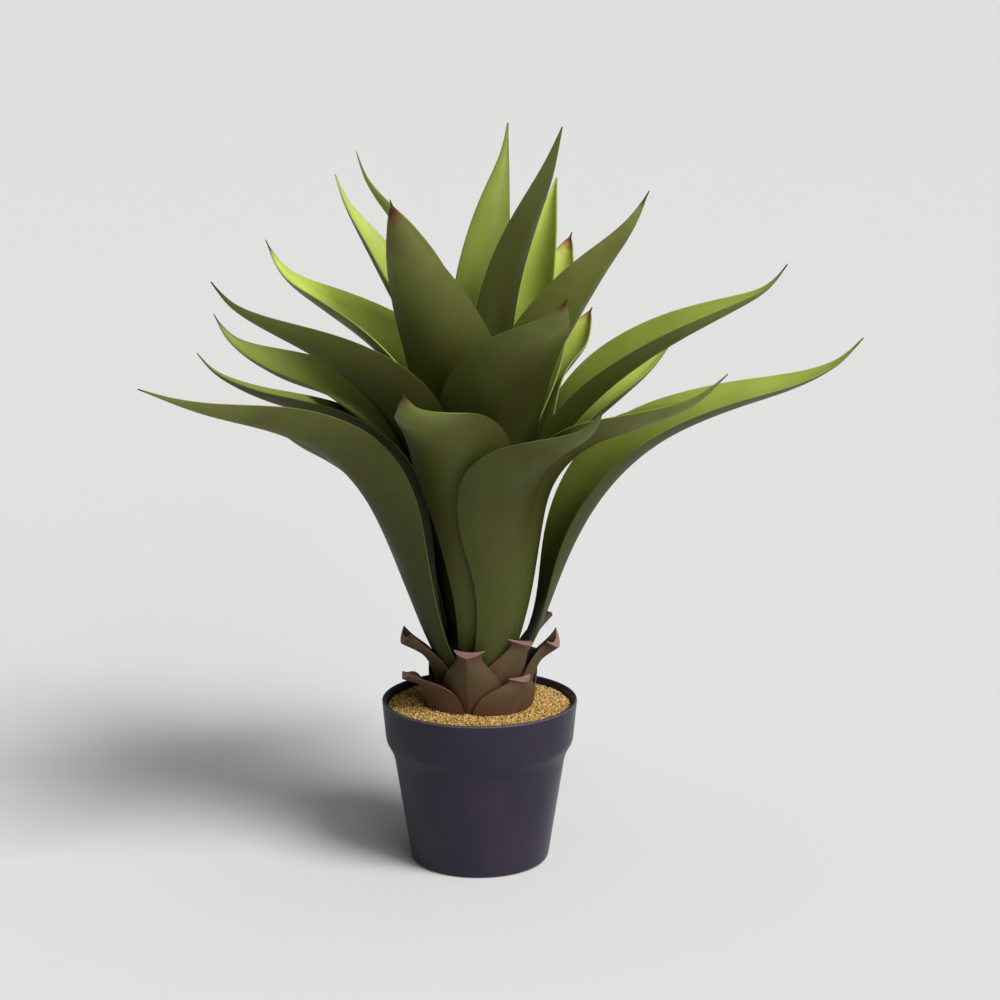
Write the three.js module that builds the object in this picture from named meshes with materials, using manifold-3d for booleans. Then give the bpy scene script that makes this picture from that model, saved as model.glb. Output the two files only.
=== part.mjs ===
// Potted agave: a rosette of channelled leaves on a short thick stem, with the cut bases of old
// leaves round its foot, standing in sand-topped soil in a round pot.
// Millimetres, +Z up. The origin is the middle of the pot's underside. The front faces -Y.

import * as THREE from 'three';
import { mergeVertices } from 'three/addons/utils/BufferGeometryUtils.js';
import Module from 'manifold-3d';

const wasm = await Module();
wasm.setup();

// Pot
const potHeight = 144;
const rimRadius = 85;
const lipRounding = 2;
const lipWidth = 5;
const collarHeight = 37;
const collarFootRadius = 81.5;
const collarChamfer = 0.8;
const collarChamferHeight = 1.5;
const ledgeHeight = 11;
const neckRadius = 75;
const baseRadius = 60;
const baseRounding = 4;
const wallThickness = 3;
const floorThickness = 5;
const cornerThickening = 1;
const footRingInnerRadius = 52;
const centrePadRadius = 24;
const footRecess = 1.5;
const footChamfer = 1;
const drainHoleCount = 6;
const drainHoleRadius = 5;
const drainCircleRadius = 38;
const turnedSegments = 48;
const drainHoleSegments = 16;
const roundingSteps = 3;

// Fill and stem
const seatGap = 0.3;
const sandThickness = 7;
const sandEdgeDrop = 5.5;
const sandCrown = 4;
const sandPlateauRadius = 58;
const stemFootHeight = 70;
const stemTopHeight = 322;
const stemTopRadius = 6;
const stemBottomRadius = 26;
const stemCapHeight = 4;
const stemSegments = 24;

// Leaf blade
const bladeStations = [0, 0.08, 0.16, 0.24, 0.32, 0.4, 0.48, 0.56, 0.64, 0.72, 0.8, 0.87, 0.93, 0.97, 1];
const bladeSpan = [-1, -0.68, -0.34, 0, 0.34, 0.68, 1];
const baseBladeThickness = 3.2;
const middleBladeThickness = 2.2;
const upperBladeThickness = 1.76;
const marginThickness = 1.1;
const spineThickness = 0.9;
const mostWrap = 75;
const wrapEnd = 0.2;
const foldStart = 0.5;
const defaultFold = 55;
const tipFolding = 1.3;
const tipFoldStart = 0.8;

// Nesting of the leaves
const leafClearance = 0.4;
const rootClearance = 0.2;
const stemClearance = 0.1;
const settleReach = 45;
const settleStep = 1.2;
const settlePasses = 40;

// Cut leaf bases
const cutBaseStations = [0, 0.22, 0.42, 0.6, 0.74, 0.85, 0.93, 1];
const cutBaseSpan = [-1, -0.62, -0.3, 0, 0.3, 0.62, 1];
const cutBaseRib = 7.5;
const cutBaseMargin = 1.2;
const footRibShare = 0.65;
const ribCrown = 1.3;
const cutHalfWidth = 14;
const neckHalfWidth = 9;
const cutCurl = 2.5;
const shapingStart = 0.6;

// The stem's radius against height: thick at the sand, narrowing between the leaves.
const stemOutline = [
  [stemFootHeight, stemBottomRadius],
  [128, 33],
  [160, 32.5],
  [190, 28.5],
  [226, 22],
  [250, 18.5],
  [275, 14.5],
  [300, 10],
  [stemTopHeight, stemTopRadius],
];

const potMaterial = new THREE.MeshStandardMaterial({ color: 0x34313b, roughness: 0.45, metalness: 0 });
const soilMaterial = new THREE.MeshStandardMaterial({ color: 0x3a2c20, roughness: 0.95, metalness: 0 });
const sandMaterial = new THREE.MeshStandardMaterial({ color: 0xb08f57, roughness: 0.9, metalness: 0 });
const stemMaterial = new THREE.MeshStandardMaterial({ color: 0x4c3c28, roughness: 0.8, metalness: 0 });
const cutBaseMaterial = new THREE.MeshStandardMaterial({ color: 0x483627, roughness: 0.75, metalness: 0 });
const leafMaterial = new THREE.MeshStandardMaterial({ color: 0x5c6d30, roughness: 0.6, metalness: 0 });

function interpolate(knots, at) {
  let index = 1;
  while (index < knots.length - 1 && knots[index][0] < at) {
    index += 1;
  }
  const [x0, y0] = knots[index - 1];
  const [x1, y1] = knots[index];
  return THREE.MathUtils.lerp(y0, y1, THREE.MathUtils.clamp((at - x0) / (x1 - x0), 0, 1));
}

// Eased interpolation: flat at the first and last knot, smooth in between.
function ease(knots, at) {
  const curve = new THREE.SplineCurve(knots.map(([x, y]) => new THREE.Vector2(x, y)));
  let low = 0;
  let high = 1;
  for (let step = 0; step < 24; step += 1) {
    const middle = (low + high) / 2;
    if (curve.getPoint(middle).x < at) {
      low = middle;
    } else {
      high = middle;
    }
  }
  return curve.getPoint((low + high) / 2).y;
}

function solidFrom(geometry) {
  const bare = geometry.clone();
  bare.deleteAttribute('normal');
  bare.deleteAttribute('uv');
  const merged = mergeVertices(bare, 1e-4);
  return new wasm.Manifold(new wasm.Mesh({
    numProp: 3,
    vertProperties: new Float32Array(merged.attributes.position.array),
    triVerts: new Uint32Array(merged.index.array),
  }));
}

function geometryFrom(solid) {
  const { vertProperties, triVerts } = solid.getMesh();
  const geometry = new THREE.BufferGeometry();
  geometry.setAttribute('position', new THREE.BufferAttribute(vertProperties, 3));
  geometry.setIndex(new THREE.BufferAttribute(triVerts, 1));
  geometry.computeVertexNormals();
  return geometry;
}

// A turned solid about +Z from [radius, height] points, listed up the outside and down the inside.
function turned(outline, segments = turnedSegments) {
  const points = outline.map(([radius, height]) => new THREE.Vector2(radius, height));
  const lathe = new THREE.LatheGeometry(points, segments);
  lathe.rotateX(Math.PI / 2);
  return lathe;
}

function arc(centreRadius, centreHeight, radius, fromDegrees, toDegrees, steps) {
  return Array.from({ length: steps + 1 }, (_, step) => {
    const angle = THREE.MathUtils.degToRad(THREE.MathUtils.lerp(fromDegrees, toDegrees, step / steps));
    return [centreRadius + radius * Math.cos(angle), centreHeight + radius * Math.sin(angle)];
  });
}

function stemRadiusAt(height) {
  return interpolate(stemOutline, height);
}

const collarFoot = potHeight - collarHeight;
const neckHeight = collarFoot - ledgeHeight;
const innerFloorRadius = baseRadius - wallThickness - cornerThickening;
const neckInnerRadius = neckRadius - wallThickness;
const collarInnerRadius = collarFootRadius - wallThickness - cornerThickening;
const lipInnerRadius = rimRadius - lipWidth;
const sandLevel = potHeight - sandEdgeDrop;
const soilLevel = sandLevel - sandThickness;

// The pot's inner wall against height, from its floor to the lip.
const potInside = [
  [floorThickness, innerFloorRadius],
  [neckHeight, neckInnerRadius],
  [collarFoot, collarInnerRadius],
  [potHeight - 2 * lipRounding, lipInnerRadius],
  [potHeight, lipInnerRadius],
];

function potInsideAt(height) {
  return interpolate(potInside, height);
}

function potSolid() {
  const body = solidFrom(turned([
    [0, 0],
    [centrePadRadius, 0],
    [centrePadRadius + footChamfer, footRecess],
    [footRingInnerRadius - footChamfer, footRecess],
    [footRingInnerRadius, 0],
    ...arc(baseRadius - baseRounding, baseRounding, baseRounding, -90, -8, roundingSteps),
    [neckRadius, neckHeight],
    [collarFootRadius - collarChamfer, collarFoot],
    [collarFootRadius, collarFoot + collarChamferHeight],
    ...arc(rimRadius - lipRounding, potHeight - lipRounding, lipRounding, 0, 90, roundingSteps),
    ...arc(lipInnerRadius + lipRounding, potHeight - lipRounding, lipRounding, 90, 180, roundingSteps),
    [collarInnerRadius, collarFoot],
    [neckInnerRadius, neckHeight],
    [innerFloorRadius, floorThickness],
    [0, floorThickness],
  ]));
  let pot = body;
  for (let hole = 0; hole < drainHoleCount; hole += 1) {
    const angle = (hole / drainHoleCount) * Math.PI * 2;
    const drill = new THREE.CylinderGeometry(
      drainHoleRadius,
      drainHoleRadius,
      floorThickness * 3,
      drainHoleSegments,
    );
    drill.rotateX(Math.PI / 2);
    drill.translate(Math.cos(angle) * drainCircleRadius, Math.sin(angle) * drainCircleRadius, 0);
    pot = pot.subtract(solidFrom(drill));
  }
  return geometryFrom(pot);
}

function soilGeometry() {
  const stemSlot = stemOutline.filter(([height]) => height < soilLevel).reverse();
  return turned([
    [0, floorThickness + seatGap],
    [innerFloorRadius - seatGap, floorThickness + seatGap],
    [potInsideAt(neckHeight) - seatGap, neckHeight],
    [potInsideAt(collarFoot) - seatGap, collarFoot],
    [potInsideAt(soilLevel) - seatGap, soilLevel],
    [stemRadiusAt(soilLevel) + seatGap, soilLevel],
    ...stemSlot.map(([height, radius]) => [radius + seatGap, height]),
    [stemBottomRadius + seatGap, stemFootHeight - seatGap],
    [0, stemFootHeight - seatGap],
  ]);
}

function sandGeometry() {
  const inner = stemRadiusAt(sandLevel) + seatGap;
  const outer = lipInnerRadius - seatGap;
  return turned([
    [inner, soilLevel + seatGap],
    [potInsideAt(soilLevel) - seatGap, soilLevel + seatGap],
    [outer, sandLevel],
    [sandPlateauRadius, sandLevel + sandCrown],
    [inner, sandLevel + sandCrown],
    [inner, soilLevel + seatGap],
  ]);
}

function stemGeometry() {
  return turned([
    [0, stemFootHeight],
    ...stemOutline.map(([height, radius]) => [radius, height]),
    [0, stemTopHeight + stemCapHeight],
  ], stemSegments);
}

// Shape of every blade against the share of its length.
function widthAlongLeaf({ blunt = 0, waist = 0 }) {
  return [
    [0, 0.34],
    [0.14, 0.4 - 0.08 * waist],
    [0.3, 0.7 - 0.28 * waist],
    [0.46, 0.98 - 0.24 * waist],
    [0.58, 0.98 - 0.04 * waist],
    [0.74, 0.68 + 0.1 * blunt],
    [0.87, 0.28 + 0.16 * blunt],
    [0.94, 0.09 + 0.11 * blunt],
    [1, 0.014],
  ];
}

const thicknessAlongLeaf = [
  [0, baseBladeThickness],
  [0.35, middleBladeThickness],
  [0.9, upperBladeThickness],
  [1, spineThickness],
];

// Where a gathered leaf closes up above its root, as a share of its gather.
const gatherAlongLeaf = [[0, 0], [0.1, 0.15], [0.26, 1], [0.4, 0.6], [0.6, 0], [1, 0]];

// The middle surface of one leaf, as rows of points from root to tip with the direction into its
// channel and the thickness at each. Near the root it wraps round the stem.
function leafSurface(leaf) {
  const rootOut = stemRadiusAt(leaf.root) + seatGap + baseBladeThickness / 2 + rootClearance;
  const route = [[rootOut, leaf.root], ...leaf.path];
  const midrib = new THREE.CatmullRomCurve3(
    route.map(([out, up, side = 0]) => new THREE.Vector3(out, side, up)),
    false,
    'centripetal',
  );
  midrib.arcLengthDivisions = 120;
  const twist = leaf.twist ?? [0, 0, 0];
  const fold = leaf.fold ?? defaultFold;
  const widths = widthAlongLeaf(leaf);
  const heading = THREE.MathUtils.degToRad(leaf.azimuth);
  const upwards = new THREE.Vector3(0, 0, 1);
  return bladeStations.map((along) => {
    const centre = midrib.getPointAt(along);
    const tangent = midrib.getTangentAt(along);
    const sideways = new THREE.Vector3(0, 1, 0);
    sideways.addScaledVector(tangent, -tangent.y).normalize();
    const inward = new THREE.Vector3().crossVectors(tangent, sideways);
    const twists = [[0, 0], [0.33, twist[0]], [0.66, twist[1]], [1, twist[2]]];
    const turn = THREE.MathUtils.degToRad(ease(twists, along));
    sideways.applyAxisAngle(tangent, turn);
    inward.applyAxisAngle(tangent, turn);
    const halfWidth = leaf.width * ease(widths, along) / 2;
    const openFold = ease([[0, fold], [tipFoldStart, fold], [1, fold * tipFolding]], along);
    const wrap = Math.min(THREE.MathUtils.radToDeg(halfWidth / centre.x), mostWrap);
    const gather = (leaf.gather ?? 0) * ease(gatherAlongLeaf, along);
    const opening = THREE.MathUtils.smoothstep(along, wrapEnd, foldStart);
    const halfFold = THREE.MathUtils.degToRad(THREE.MathUtils.lerp(wrap, openFold, opening) + gather);
    const bend = halfWidth / halfFold;
    const rib = interpolate(thicknessAlongLeaf, along);
    return bladeSpan.map((across) => {
      const angle = halfFold * across;
      const point = centre.clone()
        .addScaledVector(sideways, bend * Math.sin(angle))
        .addScaledVector(inward, bend * (1 - Math.cos(angle)));
      const normal = inward.clone()
        .multiplyScalar(Math.cos(angle))
        .addScaledVector(sideways, -Math.sin(angle));
      return {
        point: point.applyAxisAngle(upwards, heading),
        normal: normal.applyAxisAngle(upwards, heading),
        thickness: THREE.MathUtils.lerp(rib, Math.min(rib, marginThickness), across * across),
      };
    });
  });
}

// Keeps a point of a leaf outside the stem.
function clearStem({ point, thickness }) {
  const least = stemRadiusAt(point.z) + seatGap + thickness / 2 + stemClearance;
  const out = Math.hypot(point.x, point.y);
  if (point.z < stemTopHeight + 2 * stemCapHeight && out < least) {
    point.x *= least / out;
    point.y *= least / out;
  }
}

function leafFaces(surface, margin) {
  const face = (side) => surface.map((row) => row.map(({ point, normal, thickness }) => (
    point.clone().addScaledVector(normal, side * (thickness / 2 + margin))
  )));
  return bladeGeometry(face(-1), face(1));
}

// Nudges a leaf into its channel, a little at a time, wherever it would touch an earlier one.
function settle(surface, placed) {
  for (let pass = 0; pass < settlePasses; pass += 1) {
    const touching = solidFrom(leafFaces(surface, leafClearance)).intersect(placed);
    if (touching.isEmpty()) {
      return;
    }
    const marks = touching.getMesh().vertProperties;
    for (const spot of surface.flat()) {
      let nearest = Infinity;
      for (let k = 0; k < marks.length; k += 3) {
        const mark = new THREE.Vector3(marks[k], marks[k + 1], marks[k + 2]);
        nearest = Math.min(nearest, mark.distanceTo(spot.point));
      }
      const share = 1 - THREE.MathUtils.smoothstep(nearest, 0, settleReach);
      spot.point.addScaledVector(spot.normal, settleStep * share);
      clearStem(spot);
    }
  }
}

// Closes two matching sheets of points into one blade, split into triangles alike on both faces.
function bladeGeometry(outer, inner) {
  const rows = outer.length;
  const columns = outer[0].length;
  const positions = [...outer.flat(), ...inner.flat()].flatMap((point) => point.toArray());
  const index = [];
  const lastRow = rows - 1;
  const lastColumn = columns - 1;
  const at = (sheet, row, column) => (sheet * rows + row) * columns + column;
  const quad = (a, b, c, d) => index.push(a, b, c, a, c, d);
  for (let row = 0; row < lastRow; row += 1) {
    for (let column = 0; column < lastColumn; column += 1) {
      const [a, b, c, d] = [[row, column], [row, column + 1], [row + 1, column + 1], [row + 1, column]];
      index.push(at(0, ...a), at(0, ...b), at(0, ...c), at(0, ...a), at(0, ...c), at(0, ...d));
      index.push(at(1, ...a), at(1, ...c), at(1, ...b), at(1, ...a), at(1, ...d), at(1, ...c));
    }
    quad(at(0, row, 0), at(0, row + 1, 0), at(1, row + 1, 0), at(1, row, 0));
    quad(
      at(0, row, lastColumn),
      at(1, row, lastColumn),
      at(1, row + 1, lastColumn),
      at(0, row + 1, lastColumn),
    );
  }
  for (let column = 0; column < lastColumn; column += 1) {
    quad(at(0, 0, column), at(1, 0, column), at(1, 0, column + 1), at(0, 0, column + 1));
    quad(
      at(0, lastRow, column),
      at(0, lastRow, column + 1),
      at(1, lastRow, column + 1),
      at(1, lastRow, column),
    );
  }
  const geometry = new THREE.BufferGeometry();
  geometry.setAttribute('position', new THREE.Float32BufferAttribute(positions, 3));
  geometry.setIndex(index);
  geometry.computeVertexNormals();
  return geometry;
}

// Leaves, lowest tier first. Azimuth is in degrees from +X, turning towards the back.
// A path lists [out from the stem's axis, height, sideways] along the midrib, from root to tip.
const leaves = [
  {
    name: 'leaf_front_left_low', azimuth: 215, root: 172, width: 96, fold: 58, twist: [0, 12, 8],
    path: [[48, 202], [64, 244], [84, 290], [112, 341], [148, 376], [200, 401], [260, 420], [318, 446]],
  },
  {
    name: 'leaf_front_low', azimuth: 286, root: 172, width: 100, fold: 52, twist: [4, 10, 6], waist: 1,
    path: [
      [42, 200, 1], [54, 250, 2], [64, 300, 0], [74, 338, 4],
      [92, 362, 20], [120, 382, 38], [148, 400, 50], [162, 423, 57],
    ],
  },
  {
    name: 'leaf_right_low', azimuth: 2, root: 172, width: 96, fold: 45, waist: -0.6, twist: [11, 5, 10],
    gather: 32,
    path: [
      [49, 200], [64, 242], [83, 290], [108, 332], [148, 370],
      [205, 396], [268, 416], [303, 433], [326, 458],
    ],
  },
  {
    name: 'leaf_back_low', azimuth: 80, root: 172, width: 100,
    path: [[46, 212], [62, 250], [84, 295], [118, 332], [170, 358], [235, 376], [280, 398]],
  },
  {
    name: 'leaf_back_left_low', azimuth: 145, root: 172, width: 96,
    path: [[46, 210], [60, 245], [80, 285], [110, 315], [150, 334], [192, 344], [222, 356]],
  },
  {
    name: 'leaf_front_right_second', azimuth: 330, root: 188, width: 92, fold: 58, waist: 0.1,
    path: [[42, 225], [52, 280], [67, 330], [100, 368], [150, 395], [200, 418], [230, 447]],
  },
  {
    name: 'leaf_front_left_second', azimuth: 268, root: 190, width: 104,
    fold: 50, blunt: 0.5, waist: 0.6,
    path: [
      [42, 225, 0], [52, 280, -2], [60, 330, -5], [74, 368, -13],
      [98, 392, -29], [126, 405, -42], [150, 420, -50], [162, 440, -52],
    ],
  },
  {
    name: 'leaf_back_second', azimuth: 115, root: 190, width: 96,
    path: [[41, 230], [54, 275], [74, 312], [108, 338], [158, 354], [208, 362], [248, 372]],
  },
  {
    name: 'leaf_left_second', azimuth: 182, root: 190, width: 88, fold: 45, twist: [5, 5, 0],
    path: [[41, 240], [53, 300], [74, 352], [118, 386], [180, 407], [223, 430], [237, 448]],
  },
  {
    name: 'leaf_back_right_third', azimuth: 20, root: 198, width: 90, fold: 52, twist: [0, 4, 4],
    path: [[38, 240], [47, 290], [58, 335], [82, 368], [120, 397], [158, 424], [179, 449]],
  },
  {
    name: 'leaf_back_third', azimuth: 85, root: 202, width: 96,
    path: [[38, 250], [46, 295], [60, 345], [88, 386], [135, 416], [195, 438], [235, 460]],
  },
  {
    name: 'leaf_left_third', azimuth: 158, root: 204, width: 98, twist: [0, -12, -12],
    path: [[37, 250], [46, 290], [59, 334], [88, 366], [133, 394], [187, 418], [236, 442], [253, 467]],
  },
  {
    name: 'leaf_right_upper', azimuth: 350, root: 206, width: 104, fold: 62, twist: [5, 10, 10],
    path: [
      [37, 250], [45, 300], [57, 345], [78, 384], [106, 416],
      [155, 454], [210, 486], [240, 503], [257, 527],
    ],
  },
  {
    name: 'leaf_front_left_third', azimuth: 213, root: 214, width: 104, fold: 58, twist: [5, 6, 0],
    path: [
      [32, 250], [40, 290], [51, 335], [73, 382], [106, 421],
      [148, 452], [192, 477], [230, 500], [248, 523],
    ],
  },
  {
    name: 'leaf_back_right_second', azimuth: 37, root: 216, width: 104, blunt: 1, twist: [0, 16, 16],
    path: [[31, 250], [40, 300], [53, 350], [78, 398], [106, 440], [123, 476]],
  },
  {
    name: 'leaf_front_third', azimuth: 288, root: 218, width: 106, fold: 50, blunt: 1,
    path: [
      [31, 250, -2], [38, 300, -4], [46, 350, -5], [59, 393, -5],
      [86, 434, 0], [130, 467, 6], [164, 488, 10], [184, 514, 13],
    ],
  },
  {
    name: 'leaf_back_upper', azimuth: 105, root: 222, width: 90,
    path: [[30, 255], [37, 305], [48, 350], [76, 392], [112, 420], [150, 440], [182, 458]],
  },
  {
    name: 'leaf_front_upper', azimuth: 255, root: 230, width: 96, fold: 52, blunt: 1,
    path: [
      [28, 262, 0], [33, 320, -1], [38, 370, -4], [46, 418, -8],
      [63, 466, -19], [80, 510, -31], [94, 548, -40], [102, 583, -45],
    ],
  },
  {
    name: 'leaf_back_right_upper', azimuth: 57, root: 232, width: 100, blunt: 1, twist: [0, 8, 8],
    path: [[28, 268], [34, 320], [45, 365], [70, 410], [98, 452], [120, 487], [138, 514], [150, 536]],
  },
  {
    name: 'leaf_back_left_upper', azimuth: 148, root: 232, width: 100, fold: 58, twist: [0, 2, -4],
    path: [[28, 268], [35, 325], [45, 375], [68, 418], [105, 446], [155, 472], [205, 499], [224, 530]],
  },
  {
    name: 'leaf_right_inner', azimuth: 328, root: 246, width: 76,
    fold: 50, blunt: 0.5, twist: [-15, -20, -10],
    path: [[26, 285], [31, 350], [40, 405], [56, 440], [86, 486], [117, 526], [144, 557], [161, 590]],
  },
  {
    name: 'leaf_back_left_inner', azimuth: 145, root: 254, width: 86, fold: 55, twist: [0, 8, 5],
    path: [[23, 290], [26, 350], [33, 400], [52, 440], [84, 483], [116, 528], [142, 564], [153, 590]],
  },
  {
    name: 'leaf_back_right_inner', azimuth: 30, root: 262, width: 74,
    path: [[24, 290], [32, 340], [46, 382], [64, 410], [78, 436], [90, 462], [96, 478]],
  },
  {
    name: 'leaf_left_inner', azimuth: 190, root: 272, width: 53, fold: 62, twist: [0, 20, 20],
    path: [
      [19, 300], [21, 350], [24, 400], [28, 450], [32, 482],
      [45, 516], [67, 554], [92, 587], [102, 617],
    ],
  },
  {
    name: 'leaf_back_right_heart', azimuth: 50, root: 274, width: 66, fold: 50, blunt: 1,
    path: [[20, 310], [25, 350], [38, 395], [62, 450], [78, 490], [88, 524], [97, 556], [104, 588]],
  },
  {
    name: 'leaf_front_right_inner', azimuth: 318, root: 284, width: 57, fold: 50, blunt: 1,
    path: [
      [16, 320], [18, 350], [20, 390], [23, 426], [28, 476],
      [40, 519], [59, 561], [78, 599], [91, 639],
    ],
  },
  {
    name: 'leaf_back_inner', azimuth: 95, root: 297, width: 63, fold: 50, blunt: 0.1, twist: [0, 24, 28],
    path: [
      [13.5, 320, 0], [13.5, 360, -2], [15, 400, -2], [17, 450, 0],
      [22, 520, -2], [32, 570, -13], [44, 605, -24], [52, 636, -29],
    ],
  },
];

// Bases of leaves cut off round the foot of the plant. A path lists [out, height] along the inner
// face. At the cut, curl is how far the margins turn towards the stem, notch how far they outrun the
// middle, and slant how far one margin stands above the middle and the other below it. Skew is how
// many degrees the foot lies to the side of the cut.
const cutBases = [
  {
    name: 'cut_base_front', azimuth: 260, width: 28, neck: 10, rib: 9.5,
    path: [[38, 142.8], [41.5, 160], [46, 179], [51.5, 199]],
  },
  {
    name: 'cut_base_front_right', azimuth: 310, width: 33, neck: 10, cut: 12, curl: 1, skew: -7,
    path: [[47, 142.8], [49.5, 155], [52, 166], [55, 175]],
  },
  {
    name: 'cut_base_front_left', azimuth: 205, width: 33, neck: 8, cut: 6, rib: 5, curl: 0, skew: 9,
    path: [[47, 142.8], [49, 157], [55, 168], [70, 175]],
  },
  {
    name: 'cut_base_right_upper', azimuth: 319, width: 26, neck: 10, cut: 18, curl: 1, slant: -5, skew: -16,
    path: [[34, 160], [38.5, 172], [43, 187], [49.5, 204]],
  },
  {
    name: 'cut_base_left', azimuth: 195, width: 22, neck: 8, rib: 5.5, curl: 6, notch: 3,
    path: [[33, 158], [36.3, 172], [44.5, 189], [66, 203]],
  },
  {
    name: 'cut_base_right', azimuth: 355, width: 22, neck: 8, rib: 5.5, curl: 6, notch: 3, slant: 4,
    path: [[38.5, 142.8], [41.5, 163], [48, 182], [65, 196]],
  },
  {
    name: 'cut_base_back_right', azimuth: 32, width: 11, neck: 4, cut: 5, rib: 4,
    path: [[33, 158], [39, 172], [51, 192], [72, 211]],
  },
  {
    name: 'cut_base_back_left', azimuth: 136, width: 12, neck: 8,
    path: [[33, 158], [38, 172], [47, 192], [64, 212]],
  },
  {
    name: 'cut_base_back', azimuth: 86, width: 15,
    path: [[33, 158], [38, 172], [46, 190], [58, 208]],
  },
  {
    name: 'cut_base_back_left_low', azimuth: 122, width: 29,
    path: [[45.5, 142.8], [48, 160], [53, 176], [61, 190]],
  },
  {
    name: 'cut_base_back_right_low', azimuth: 42, width: 31,
    path: [[45.5, 142.8], [48, 156], [52, 168], [60, 179]],
  },
];

// Half width of a cut base against its height: a broad scale, drawn in to a neck, then the lips of
// the cut.
function cutBaseHalfWidth({ width, neck = neckHalfWidth, cut = cutHalfWidth }, along) {
  const body = [[0, width], [0.36, 0.98 * width], [0.58, 0.84 * width], [0.76, 0.54 * width]];
  return ease([...body, [0.88, neck], [1, cut]], along);
}

// One cut base in its own radial plane, wrapped round the stem's axis, with a ridge down its back.
function cutBaseGeometry(base) {
  const line = new THREE.CatmullRomCurve3(
    base.path.map(([out, up]) => new THREE.Vector3(out, 0, up)),
    false,
    'centripetal',
  );
  const outer = [];
  const inner = [];
  for (const along of cutBaseStations) {
    const foot = line.getPointAt(along);
    const tangent = line.getTangentAt(along);
    const lean = along === 0 ? 0 : Math.atan2(tangent.x, tangent.z);
    const halfAngle = cutBaseHalfWidth(base, along) / foot.x;
    const skew = THREE.MathUtils.degToRad(base.skew ?? 0) * (1 - along);
    const rib = (base.rib ?? cutBaseRib) * THREE.MathUtils.lerp(footRibShare, 1, along);
    const shaping = THREE.MathUtils.smoothstep(along, shapingStart, 1);
    const outerRow = [];
    const innerRow = [];
    for (const across of cutBaseSpan) {
      const thickness = cutBaseMargin + rib * (1 - Math.abs(across) ** ribCrown);
      const run = shaping * ((base.notch ?? 0) * Math.abs(across) + (base.slant ?? 0) * across);
      const curl = shaping * (base.curl ?? cutCurl) * across * across;
      const innerOut = foot.x + run * Math.sin(lean) - curl * Math.cos(lean);
      const innerUp = foot.z + run * Math.cos(lean) + curl * Math.sin(lean);
      const outerOut = innerOut + thickness * Math.cos(lean);
      const outerUp = innerUp - thickness * Math.sin(lean);
      const angle = across * halfAngle + skew;
      innerRow.push(new THREE.Vector3(innerOut * Math.cos(angle), innerOut * Math.sin(angle), innerUp));
      outerRow.push(new THREE.Vector3(outerOut * Math.cos(angle), outerOut * Math.sin(angle), outerUp));
    }
    outer.push(outerRow);
    inner.push(innerRow);
  }
  return bladeGeometry(outer, inner);
}

const agave = new THREE.Group();

function place(name, geometry, material) {
  const mesh = new THREE.Mesh(geometry, material);
  mesh.name = name;
  agave.add(mesh);
  return mesh;
}

place('pot', potSolid(), potMaterial);
place('soil', soilGeometry(), soilMaterial);
place('sand_topping', sandGeometry(), sandMaterial);
place('stem', stemGeometry(), stemMaterial);

for (const base of cutBases) {
  const mesh = place(base.name, cutBaseGeometry(base), cutBaseMaterial);
  mesh.rotation.z = THREE.MathUtils.degToRad(base.azimuth);
}

let placedLeaves = null;
for (const leaf of leaves) {
  const surface = leafSurface(leaf);
  if (placedLeaves) {
    settle(surface, placedLeaves);
  }
  const mesh = place(leaf.name, leafFaces(surface, 0), leafMaterial);
  const solid = solidFrom(mesh.geometry);
  placedLeaves = placedLeaves ? placedLeaves.add(solid) : solid;
}

export default agave;
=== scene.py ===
# Potted agave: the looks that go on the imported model, in metres and in its own frame.
import math
import random

import bmesh
import bpy
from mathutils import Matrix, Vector, noise


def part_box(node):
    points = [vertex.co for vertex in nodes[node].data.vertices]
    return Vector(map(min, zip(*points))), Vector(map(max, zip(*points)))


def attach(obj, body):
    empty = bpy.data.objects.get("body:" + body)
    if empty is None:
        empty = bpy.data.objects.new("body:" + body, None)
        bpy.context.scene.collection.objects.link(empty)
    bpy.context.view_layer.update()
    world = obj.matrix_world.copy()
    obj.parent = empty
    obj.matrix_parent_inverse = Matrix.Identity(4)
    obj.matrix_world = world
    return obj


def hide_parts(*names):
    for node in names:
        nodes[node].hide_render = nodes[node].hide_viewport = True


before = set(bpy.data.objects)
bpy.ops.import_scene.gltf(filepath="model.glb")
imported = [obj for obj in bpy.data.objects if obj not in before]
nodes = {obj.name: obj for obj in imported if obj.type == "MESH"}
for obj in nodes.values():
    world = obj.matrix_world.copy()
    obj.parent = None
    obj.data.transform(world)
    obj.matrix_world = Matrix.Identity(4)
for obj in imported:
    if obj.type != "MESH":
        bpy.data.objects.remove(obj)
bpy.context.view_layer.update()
scene = bpy.context.scene
scene.view_settings.view_transform = "Standard"

leafNames = sorted(name for name in nodes if name.startswith("leaf_"))
cutBaseNames = sorted(name for name in nodes if name.startswith("cut_base_"))
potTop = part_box("pot")[1]
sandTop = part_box("sand_topping")[1]
print("frame loaded:", len(leafNames), "leaves,", len(cutBaseNames), "cut bases")


# Camera, at the angle of the photograph

cameraSettings = {
    "place": (0.01774, -1.974, 0.7442),
    "pitchDown": 12.133,      # degrees below level
    "lens": 85.0,             # mm, on a 36 mm sensor
    "sensor": 36.0,
    "clipEnd": 2000,
}


def makeCamera(settings):
    data = bpy.data.cameras.new("studioCamera")
    data.lens = settings["lens"]
    data.sensor_width = settings["sensor"]
    data.clip_end = settings["clipEnd"]
    camera = bpy.data.objects.new("studioCamera", data)
    camera.location = settings["place"]
    camera.rotation_euler = (math.radians(90 - settings["pitchDown"]), 0, 0)
    scene.collection.objects.link(camera)
    scene.camera = camera


# Helpers for materials: a node with its inputs, a colour ramp, a colour mix and noise

usualNoise = (0.3, 0.7)         # the values between which nearly all of a noise lies


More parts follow.
